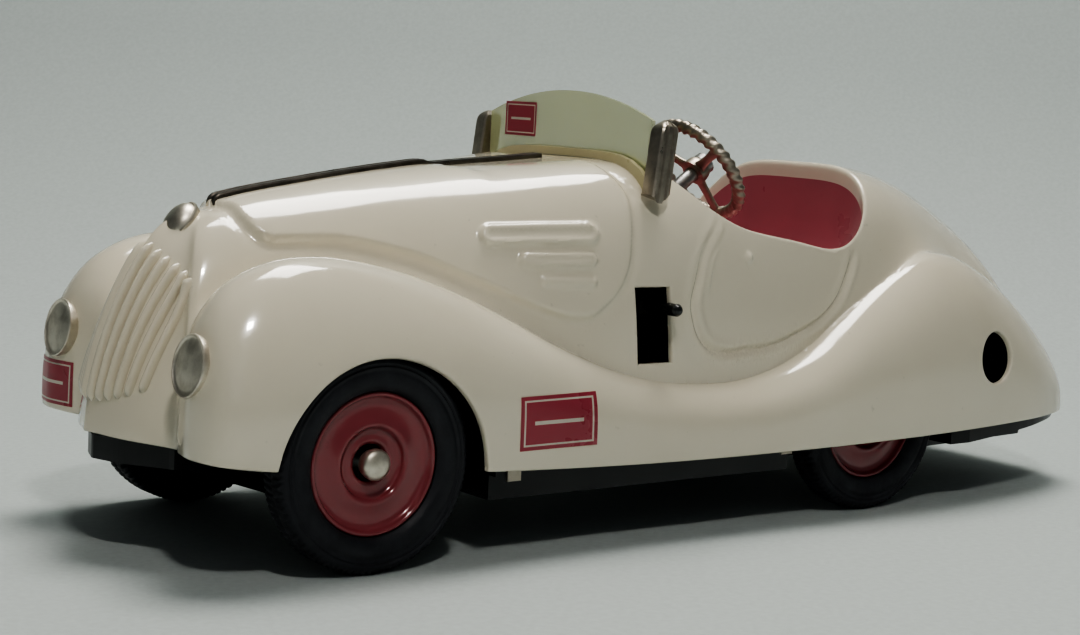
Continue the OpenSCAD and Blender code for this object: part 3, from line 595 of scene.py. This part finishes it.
def make_mesh(name, pts, faces, mats, body="chassis", slots=None, smooth=40):
    """Mesh object from points in millimetres. slots gives each face's material number."""
    mesh = bpy.data.meshes.new(name)
    corners = [tuple(p) for p in np.asarray(pts) * MM]
    mesh.from_pydata(corners, [], [list(map(int, f)) for f in faces])
    mesh.validate()
    for m in mats:
        mesh.materials.append(m)
    if slots is not None:
        mesh.polygons.foreach_set("material_index", np.asarray(slots, np.int32))
    mesh.polygons.foreach_set("use_smooth", np.ones(len(mesh.polygons), bool))
    mesh.set_sharp_from_angle(angle=math.radians(smooth))
    obj = bpy.data.objects.new(name, mesh)
    bpy.context.scene.collection.objects.link(obj)
    if body:
        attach(obj, body)
    return obj


def boundary_loops(tri):
    """Ordered loops of the open edges, each as a list of point numbers."""
    directed = np.concatenate([tri[:, [0, 1]], tri[:, [1, 2]], tri[:, [2, 0]]])
    seen = set(map(tuple, directed))
    follow = {int(a): int(b) for a, b in directed if (b, a) not in seen}
    loops = []
    while follow:
        start, cur = next(iter(follow.items()))
        loop = [start]
        del follow[start]
        while cur != start and cur in follow:
            loop.append(cur)
            cur = follow.pop(cur)
        loops.append(loop)
    return loops


PIT_RING = []


def inner_skin():
    """The inside of the pressing, one sheet's thickness in; its dark colour is painted shade
    inside the body.
    """
    left, right = half_shell(1, False), half_shell(-1, False)
    pts, tri = compact(np.concatenate([left[0], right[0]]),
                       np.concatenate([left[1], right[1] + len(left[0])]))
    nor = vertex_normals(pts, tri)
    pts = pts - nor * SHEET
    # dark metal on the inside of the shell: painted shade inside the body
    obj = make_mesh("shell_inside_painted_shade", pts, tri[:, ::-1], [MAT["dark_steel_and_painted_shade"]], smooth=60)


def body_mesh():
    left, right = half_shell(1), half_shell(-1)
    pts = np.concatenate([left[0], right[0]])
    tri = np.concatenate([left[1], right[1] + len(left[0])])
    pts, tri = compact(pts, tri)
    nor = vertex_normals(pts, tri)
    mid = np.abs(pts[:, 1]) < 1e-6
    nor[mid, 1] = 0
    nor /= np.maximum(np.linalg.norm(nor, axis=1), 1e-9)[:, None]
    pts = pts + nor * relief(pts)[0][:, None]
    points, faces = [*pts], [tuple(t) for t in tri]
    for loop in boundary_loops(tri):
        if len(loop) < 12:
            continue
        ring = pts[loop]
        centre = ring.mean(0)
        n = nor[loop]
        along = np.roll(ring, -1, axis=0) - np.roll(ring, 1, axis=0)
        along /= np.linalg.norm(along, axis=1)[:, None]
        out = np.cross(along, n)
        out /= np.linalg.norm(out, axis=1)[:, None]
        if (ring[:, 2].max() < 20 and len(loop) > 400):
            kind = "sill"
        elif centre[2] > 30:
            kind = "pit"
        else:
            kind = "hole"
        for _ in range(6 if kind == "pit" else 2):
            out = (np.roll(out, 1, axis=0) + out + np.roll(out, -1, axis=0)) / 3
        out /= np.linalg.norm(out, axis=1)[:, None]
        down = np.array([0, 0, -1.0])
        if kind == "pit":
            flat = out * np.array([1, 1, 0.35])
            flat /= np.linalg.norm(flat, axis=1)[:, None]
            steps = [(0.28, 0.05), (0.5, 0.18), (0.66, 0.42), (0.73, 0.75), (0.75, 1.3),
                     (0.75, 2.5)]
            rows = [ring + flat * a + down * b for a, b in steps]
            PIT_RING.extend(rows[-1])
        elif kind == "sill":
            inward = -n * np.array([1, 1, 0])
            inward /= np.maximum(np.linalg.norm(inward, axis=1), 1e-9)[:, None]
            steps = [(0.06, 0.16), (0.2, 0.28), (0.42, 0.32), (0.8, 0.2), (1.0, -0.5)]
            rows = [ring + inward * a + down * b for a, b in steps]
        else:
            steps = [(0.12, 0.04), (0.2, 0.13), (0.24, 0.3), (0.24, 0.64)]
            rows = [ring + out * a - n * b for a, b in steps]
        ids = list(loop)
        for row in rows:
            new = list(range(len(points), len(points) + len(loop)))
            points.extend(row)
            k = len(ids)
            faces.extend((ids[(i + 1) % k], ids[i], new[i], new[(i + 1) % k]) for i in range(k))
            ids = new
    obj = make_mesh("shell_pressing", points, faces, [MAT["cream"]], smooth=50)
    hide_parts("body_shell")
    return obj


BODY = body_mesh()
inner_skin()

# ---------------------------------------------------------------- piece builders
def basis(axis):
    w = np.array(axis, float) / np.linalg.norm(axis)
    u = np.cross([0, 0, 1.0] if abs(w[2]) < 0.9 else [1.0, 0, 0], w)
    u /= np.linalg.norm(u)
    return u, np.cross(w, u), w


def lathe(profile, centre, axis, count=64, shape=None, stretch=(1, 1)):
    """(radius, along) pairs turned about an axis. shape(angle, k) may change the radius."""
    u, v, w = basis(axis)
    pts, faces, rings = [], [], []
    for k, (r, a) in enumerate(profile):
        if r <= 1e-6:
            rings.append([len(pts)])
            pts.append(np.array(centre) + a * w)
            continue
        ids = []
        for i in range(count):
            t = 2 * math.pi * i / count
            rr = r + (shape(t, k) if shape else 0)
            ids.append(len(pts))
            pts.append(np.array(centre) + a * w + rr * (math.cos(t) * stretch[0] * u
                                                        + math.sin(t) * stretch[1] * v))
        rings.append(ids)
    for a, b in zip(rings, rings[1:]):
        for i in range(count):
            j = (i + 1) % count
            if len(a) == 1 and len(b) == 1:
                continue
            if len(a) == 1:
                faces.append((a[0], b[i], b[j]))
            elif len(b) == 1:
                faces.append((a[i], b[0], a[j]))
            else:
                faces.append((a[i], b[i], b[j], a[j]))
    return pts, faces


def loft(rings, closed=True, ends=True):
    """Quads between equal rings of points, with flat ends."""
    n = len(rings[0])
    pts = [p for ring in rings for p in ring]
    faces = []
    for k in range(len(rings) - 1):
        for i in range(n if closed else n - 1):
            j = (i + 1) % n
            faces.append((k * n + i, k * n + j, (k + 1) * n + j, (k + 1) * n + i))
    if ends:
        faces += [tuple(range(n))[::-1], tuple((len(rings) - 1) * n + i for i in range(n))]
    return pts, faces


def merge(*parts):
    pts, faces = [], []
    for p, f in parts:
        k = len(pts)
        pts.extend(p)
        faces.extend(tuple(i + k for i in face) for face in f)
    return pts, faces


def tidy_normals(obj):
    bm = bmesh.new()
    bm.from_mesh(obj.data)
    bmesh.ops.recalc_face_normals(bm, faces=bm.faces)
    bm.to_mesh(obj.data)
    bm.free()


def piece(name, part, mat, body, replaces=(), smooth=35):
    obj = make_mesh(name, part[0], part[1], [MAT[mat]], body, smooth=smooth)
    tidy_normals(obj)
    if replaces:
        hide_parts(*replaces)
    return obj


# ray look-up on the finished shell, for everything that sits on it
TREE = BVHTree.FromPolygons([v.co / MM for v in BODY.data.vertices],
                            [p.vertices for p in BODY.data.polygons])


def drop(origin, direction):
    """Where a ray meets the shell, and the shell's normal there."""
    hit, normal, _, _ = TREE.ray_cast(Vector(origin), Vector(direction).normalized())
    if normal.dot(Vector(direction)) > 0:
        normal = -normal
    return np.array(hit), np.array(normal)


# ---------------------------------------------------------------- nose ribs
RIB_ROWS = (0.6, 1.75, 2.9, 4.05, 5.2, 6.35)


def rib(y):
    """Round-topped rib laid up the nose at the given distance from the middle."""
    low, high = 16.4 + 0.04 * y * y, 33.3 - 0.55 * abs(y)
    path, nor = [], []
    for z in np.linspace(low, high, 34):
        p, n = drop((90, y, z), (-1, 0, 0))
        path.append(p)
        nor.append(n)
    path, nor = np.array(path), np.array(nor)
    for _ in range(3):
        nor[1:-1] = (nor[:-2] + nor[1:-1] + nor[2:]) / 3
    side = np.array([0, 1.0, 0])
    rings = []
    for k, (p, n) in enumerate(zip(path, nor)):
        n = n / np.linalg.norm(n)
        t = np.cross(side, n)
        s = np.cross(n, t)
        s /= np.linalg.norm(s)
        e = min(1, (min(k, len(path) - 1 - k) + 0.02) / 2.2)
        e = math.sqrt(1 - (1 - e) ** 2)
        rings.append([p + s * a * (0.45 + 0.55 * e) + n * (b * e - 0.06)
                      for a, b in ((-0.53, -0.08), (-0.48, 0.26), (-0.38, 0.56), (-0.2, 0.78),
                                   (0, 0.85), (0.2, 0.78), (0.38, 0.56), (0.48, 0.26),
                                   (0.53, -0.08))])
    return loft(rings, closed=False, ends=False)


piece("nose_ribs", merge(*[rib(s * y) for y in RIB_ROWS for s in (1, -1)]),
      "cream", "chassis", smooth=60)


# ---------------------------------------------------------------- bonnet strip and badge
def bonnet_strip():
    xs = np.concatenate([np.linspace(13.2, 55.6, 60), np.linspace(56.0, 56.8, 5)])
    rings = []
    section = [(-0.95, -0.35), (-0.95, 0.34), (-0.82, 0.52), (-0.32, 0.56), (-0.16, 0.36),
               (0.16, 0.36), (0.32, 0.56), (0.82, 0.52), (0.95, 0.34), (0.95, -0.35)]
    last = None
    for k, x in enumerate(xs):
        p, n = drop((x, 0.02, 80), (0, 0, -1))
        w = 1.0 - 0.35 * ease((1.2 - k) / 1.2)
        last = p
        rings.append([np.array([x, a * w, p[2] + b]) for a, b in section])
    for dx, dz in ((0.35, -0.25), (0.55, -0.7), (0.5, -1.25)):
        rings.append([np.array([last[0] + dx + 0.2 * b, a * 0.92, last[2] + dz + b * 0.8])
                      for a, b in section])
    return loft(rings)


piece("hood_strip", bonnet_strip(), "strip", "chassis", ["bonnet_strip"], 30)

BADGE_AT = np.array([60.9, 0, 35.1])
BADGE_TILT = math.radians(52)
badge_axis = np.array([math.sin(BADGE_TILT), 0, math.cos(BADGE_TILT)])
piece("nose_button", lathe([(1.9, -1.4), (2.12, -0.3), (2.25, 0.05), (2.22, 0.24),
                            (2.08, 0.32), (1.98, 0.28), (1.9, 0.5), (1.66, 0.86),
                            (1.3, 1.14), (0.85, 1.32), (0.4, 1.4), (0, 1.42)],
                           BADGE_AT, badge_axis, 56, stretch=(1.02, 1.16)),
      "bright", "chassis", ["nose_badge"])


# ---------------------------------------------------------------- headlights
LAMP_AT, LAMP_TILT = (66.75, 15.7, 21.9), math.radians(10)


def lamp(s):
    axis = np.array([math.cos(LAMP_TILT), 0, math.sin(LAMP_TILT)])
    x, y, z = LAMP_AT
    at = np.array([x, s * y, z]) + axis * 0.75
    return lathe([(2.5, -2.4), (2.9, -1.6), (3.16, -0.7), (3.28, 0.0), (3.27, 0.16),
                  (3.18, 0.25), (3.06, 0.22), (2.98, 0.1), (2.9, 0.06), (2.5, 0.1),
                  (1.9, 0.18), (1.2, 0.23), (0.6, 0.26), (0, 0.26)], at, axis, 72)


for s, side in ((1, "left"), (-1, "right")):
    piece("lamp_" + side, lamp(s), "bright", "chassis", ["headlight_" + side])


# ---------------------------------------------------------------- screen posts
POST_AT, POST_HALF = (8.8, 17.35), 1.4


def post(s):
    """Folded nickel post: ribbed outer face, rounded head, pointed foot."""
    x0, y0 = POST_AT
    half = POST_HALF
    outer = [(-half, 0.55), (-1.3, 0.95), (-1.05, 1.12), (-0.78, 1.12), (-0.62, 0.9),
             (-0.42, 0.9), (-0.26, 1.12), (0.26, 1.12), (0.42, 0.9), (0.62, 0.9),
             (0.78, 1.12), (1.05, 1.12), (1.3, 0.95), (half, 0.55)]
    inner = [(half, -0.8), (1.2, -1.05), (-1.2, -1.05), (-half, -0.8)]
    section = outer + inner
    rings = []
    for k, z in enumerate([38.4, 39.6, 41, 43, 45, 46.6, 47.1, 47.5, 47.8, 47.98, 48.05]):
        w = 1.0 if z < 46.6 else math.sqrt(max(0.03, 1 - ((z - 46.6) / 1.47) ** 2))
        t = 1.0 if z < 47.4 else max(0.25, 1 - (z - 47.4) * 1.1)
        lean = -0.12 * (z - 43)
        ring = []
        for a, b in section:
            foot = 1.25 * abs(a) / half if k == 0 else 0
            ring.append(np.array([x0 + a * w + lean, s * (y0 + b * t), z + foot]))
        rings.append(ring)
    return loft(rings)


for s, side in ((1, "left"), (-1, "right")):
    piece("screen_post_" + side, post(s), "nickel", "chassis", ["post_" + side],
          28)


# ---------------------------------------------------------------- seat tub
def tub():
    """Pressed bowl hung from the foot of the cockpit flange; its dark outside is painted shade
    under the seat.
    """
    ring = np.array(PIT_RING)[::3]
    centre = np.array([PIT[0], 0, 28.1])
    top = ring + np.array([0, 0, 0.3])
    shape = [(1.0, 1.0), (0.992, 0.92), (0.975, 0.78), (0.95, 0.6), (0.92, 0.43),
             (0.88, 0.27), (0.83, 0.14), (0.76, 0.05), (0.66, 0.01), (0.4, 0), (0.02, 0)]
    inner = [np.stack([centre[0] + (top[:, 0] - centre[0]) * k,
                       centre[1] + (top[:, 1] - centre[1]) * k,
                       centre[2] + (top[:, 2] - centre[2]) * h], 1) for k, h in shape]
    outer = [r + np.array([0, 0, -0.4]) + (r - centre) * np.array([0.012, 0.012, 0])
             for r in inner]
    a = loft(inner, ends=False)
    b = loft(outer, ends=False)
    pts, faces = merge(a, (b[0], [f[::-1] for f in b[1]]))
    return pts, faces, [0] * len(a[1]) + [1] * len(b[1])


pts, faces, slots = tub()
# second material, the bowl's dark outside: painted shade under the seat
seat = make_mesh("seat_bowl", pts, faces, [MAT["seat"], MAT["dark_steel_and_painted_shade"]], "chassis", slots)
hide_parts("seat_tub")


# ---------------------------------------------------------------- wheels
WHEEL_Z = 11.65
AXLES = (("front", 48.8, 20.0), ("rear", -26.4, 18.7))
TREAD_WAVES = 90
TREAD_STEPS = 480
CAP_OUT = 0.9
TYRE = [(7.7, -1.35), (8.0, -1.78), (8.5, -2.02), (9.2, -2.1), (9.7, -2.1), (9.82, -2.02),
        (10.02, -2.02), (10.14, -2.12), (10.3, -2.12), (10.42, -2.0), (10.6, -2.0),
        (10.72, -2.08), (10.9, -2.06), (11.15, -1.92)]
TREAD = [-1.62, -1.3, -0.98, -0.66, -0.34, -0.12, 0.12, 0.34, 0.66, 0.98, 1.3, 1.62]


def tyre(x, y):
    prof = TYRE + [(11.6 if abs(a) < 1.5 else 11.48, a) for a in TREAD] \
        + [(r, -a) for r, a in reversed(TYRE)]
    first = len(TYRE)

    def blocks(t, k):
        j = k - first
        if not 0 <= j < len(TREAD):
            if j in (-1, len(TREAD)):
                return -0.10 if math.sin(TREAD_WAVES * t + 0.5) > 0.15 else 0.0
            return 0.0
        a = TREAD[j]
        if abs(a) < 0.2:
            return -0.2
        wave = math.sin(TREAD_WAVES * t + (2.2 if a > 0 else 0) + abs(a) * 1.7)
        return -0.22 if wave > 0.25 else 0.0
    return lathe(prof, (x, y, WHEEL_Z), (0, 1, 0), TREAD_STEPS, blocks)


DISC = [(7.66, -1.7), (7.66, 1.12), (7.6, 1.3), (7.42, 1.4), (7.24, 1.36), (7.12, 1.18),
        (7.02, 0.92), (6.8, 0.74), (6.3, 0.66), (5.6, 0.72), (5.0, 0.86), (4.55, 1.02),
        (4.3, 1.1), (4.05, 1.1), (3.88, 0.98), (3.76, 0.72), (3.6, 0.5), (3.3, 0.4),
        (2.9, 0.42), (2.6, 0.48), (2.35, 0.5), (2.12, 0.4), (1.98, 0.15), (1.95, -0.5)]
CAP = [(1.2, -0.7), (1.5, -0.4), (1.66, 0.2), (1.7, 0.6), (1.66, 0.84), (1.5, 1.06),
       (1.25, 1.24), (0.9, 1.38), (0.5, 1.47), (0, 1.5)]


def outward(profile, s):
    return [(r, s * a) for r, a in profile]


def stud(x, y, s):
    return lathe(outward(CAP, s), (x, s * (y + CAP_OUT), WHEEL_Z), (0, 1, 0), 40)


for tag, x, y in AXLES:
    for s, side in ((1, "left"), (-1, "right")):
        wheel = f"front_wheel_{side}" if tag == "front" else "rear_axle"
        piece(f"{tag}_tread_{side}", tyre(x, s * y), "rubber", wheel,
              [f"{tag}_tyre_{side}"], 40)
        disc = lathe(outward(DISC, s), (x, s * y, WHEEL_Z), (0, 1, 0), 96)
        piece(f"{tag}_hub_{side}", disc, "red", wheel, [f"{tag}_disc_{side}"], 50)
    if tag == "front":
        for s, side in ((1, "left"), (-1, "right")):
            piece(f"front_stud_{side}", stud(x, y, s), "bright", f"knuckle_{side}",
                  [f"front_cap_{side}"])
    else:
        piece("rear_studs", merge(*[stud(x, y, s) for s in (1, -1)]), "bright", "rear_axle",
              ["rear_caps"])


# ---------------------------------------------------------------- steering wheel
HUB = (-6.0, 7.2, 42.1)
RAKE = math.radians(36)
RIM_R, RIM_TUBE, RIM_WAVE, RIM_TWISTS = 6.6, 0.76, 0.10, 34


def wheel_rim():
    """Rope-pattern rim, three spokes and a hub."""
    hub = np.array(HUB)
    u = np.array([math.sin(RAKE), 0, math.cos(RAKE)])
    v = np.array([0, 1.0, 0])
    w = np.array([math.cos(RAKE), 0, -math.sin(RAKE)])
    n, m = 300, 18
    rings = []
    for i in range(n):
        t = 2 * math.pi * i / n
        out = math.cos(t) * u + math.sin(t) * v
        ring = []
        for j in range(m):
            a = 2 * math.pi * j / m
            r = RIM_TUBE + RIM_WAVE * math.sin(RIM_TWISTS * t + 2 * a)
            ring.append(hub + out * (RIM_R + r * math.cos(a)) + w * r * math.sin(a))
        rings.append(ring)
    rings.append(rings[0])
    parts = [loft(rings, ends=False)]
    for a in (60, 180, 300):
        t = math.radians(a)
        out = math.cos(t) * u + math.sin(t) * v
        tan = -math.sin(t) * u + math.cos(t) * v
        spoke = []
        for d, half, thick in ((1.2, 0.85, 0.34), (2.2, 0.62, 0.32), (4.0, 0.52, 0.3),
                               (5.4, 0.62, 0.3), (6.5, 0.85, 0.3)):
            sag = w * (0.35 * (1 - d / RIM_R))
            spoke.append([hub + out * d + sag + tan * a1 * half + w * b1 * thick
                          for a1, b1 in ((-1, -0.4), (-0.7, -1), (0.7, -1), (1, -0.4),
                                         (1, 0.4), (0.7, 1), (-0.7, 1), (-1, 0.4))])
        parts.append(loft(spoke))
    parts.append(lathe([(0, -1.5), (0.7, -1.45), (1.15, -1.2), (1.35, -0.8), (1.6, -0.5),
                        (1.72, 0.1), (1.7, 0.8), (0.95, 0.9)], hub, w, 40))
    return merge(*parts)


piece("knurled_wheel", wheel_rim(), "nickel", "steering", ["steering_wheel"], 50)


# ---------------------------------------------------------------- plain stickers
STICKER = enamel("sticker_red", (0.40, 0.06, 0.085), (0.35, 0.05, 0.072), 0.3, 0.3)
STICKER_LINE = enamel("sticker_line", (0.62, 0.58, 0.50), (0.58, 0.54, 0.46), 0.3, 0.3)


# cells across and up a patch, the cell its frame runs in, and where its bar lies
PATCH_CELLS = (44, 28)
FRAME_CELL = 2
BAR_END, BAR_ROWS = 8, (13, 14)


def sticker(name, corner, across, up, toward, lift=0.05):
    """Thin printed patch laid on the surface: a red field with a pale frame and bar."""
    nu, nv = PATCH_CELLS
    pts, faces, slots = [], [], []
    for i in range(nu + 1):
        for j in range(nv + 1):
            o = np.array(corner) + np.array(across) * i / nu + np.array(up) * j / nv
            if toward is None:
                pts.append(o)
                continue
            p, n = drop(o - np.array(toward) * 40, toward)
            pts.append(p + n * lift)
    for i in range(nu):
        for j in range(nv):
            k = i * (nv + 1) + j
            faces.append((k, k + nv + 1, k + nv + 2, k + 1))
            edge = min(i, nu - 1 - i, j, nv - 1 - j)
            bar = BAR_END <= i < nu - BAR_END and j in BAR_ROWS
            slots.append(1 if edge == FRAME_CELL or bar else 0)
    obj = make_mesh(name, pts, faces, [STICKER, STICKER_LINE], "chassis", slots, smooth=60)


sticker("sill_patch", (31.6, 0, 12.1), (-10.9, 0, 0), (0, 0, 5.9), (0, -1, 0))
sticker("fender_patch", (90, -20.9, 13.4), (0.0, 8.2, 0), (0, 0, 5.0), (-1, 0, 0))
sticker("screen_patch", (9.18, -12.6, 45.2), (0, 6.4, 0), (0, 0, 4.2), None)


# ---------------------------------------------------------------- floor
# pale cloth that runs back under the car and up behind it, painted darker where it rises as
# painted shade on the backdrop
floor_mat, tree, bsdf = nodes_of("studio_floor")
split = tree.nodes.new("ShaderNodeSeparateXYZ")
tree.links.new(tree.nodes.new("ShaderNodeTexCoord").outputs["Object"], split.inputs["Vector"])
# tone darkens over the first 6 cm of height: painted shade on the rising backdrop
cloth_and_wall_shade = ramp(tree, span(tree, split.outputs["Z"], 0, 1, 0.0, 0.06),
             [(0.0, (0.52, 0.565, 0.555)), (1.0, (0.42, 0.465, 0.455))])
weave = ramp(tree, noise(tree, 1100, 2), [(0.3, (0.92, 0.92, 0.92)), (0.7, (1, 1, 1))])
blend = tree.nodes.new("ShaderNodeMix")
blend.data_type, blend.blend_type = "RGBA", "MULTIPLY"
blend.inputs[0].default_value = 1.0
tree.links.new(cloth_and_wall_shade, blend.inputs[6])
tree.links.new(weave, blend.inputs[7])
tree.links.new(blend.outputs[2], bsdf.inputs["Base Color"])
bsdf.inputs["Roughness"].default_value = 0.75
AWAY = np.array([-0.609, -0.793, 0.0])
ASIDE = np.array([-0.793, 0.609, 0.0])
BEND_AT, BEND_R = 78, 190
sweep = [(-1500, 0), (-400, 0), (0, 0), (70, 0)]
sweep += [(BEND_AT + BEND_R * math.sin(t), BEND_R - BEND_R * math.cos(t))
          for t in np.linspace(0.04, math.pi / 2, 26)]
sweep += [(BEND_AT + BEND_R, 800), (BEND_AT + BEND_R, 1600)]
pts, faces = loft([[AWAY * d + ASIDE * w + np.array([0, 0, z]) for d, z in sweep]
                   for w in (-1600, 1600)], closed=False, ends=False)
floor = make_mesh("floor", pts, faces, [floor_mat], None, smooth=80)

# ---------------------------------------------------------------- CAD pieces shown as they are
SKIN = {"bare_steel": "steel", "brass": "brass", "blued_steel": "blued",
        "black_enamel": "black", "tinted_pane": "pane", "pale_trim": "channel",
        "nickel": "nickel", "black_knob": "knob", "cream_enamel": "cream",
        "red_enamel": "red", "black_rubber": "rubber"}
DARK_NODES = ("side_lever", "hand_lever_base", "lever_bracket")
for part in frame["record"]["subparts"]:
    obj = frame["nodes"][part["node"]]
    mat = MAT[SKIN[part["material_slot"]]]
    if part["node"] in DARK_NODES:
        mat = MAT["dark_steel_and_painted_shade"]
    for k in range(len(obj.material_slots)):
        obj.material_slots[k].material = mat

# ---------------------------------------------------------------- finish
bpy.context.scene.view_settings.look = "AgX - High Contrast"
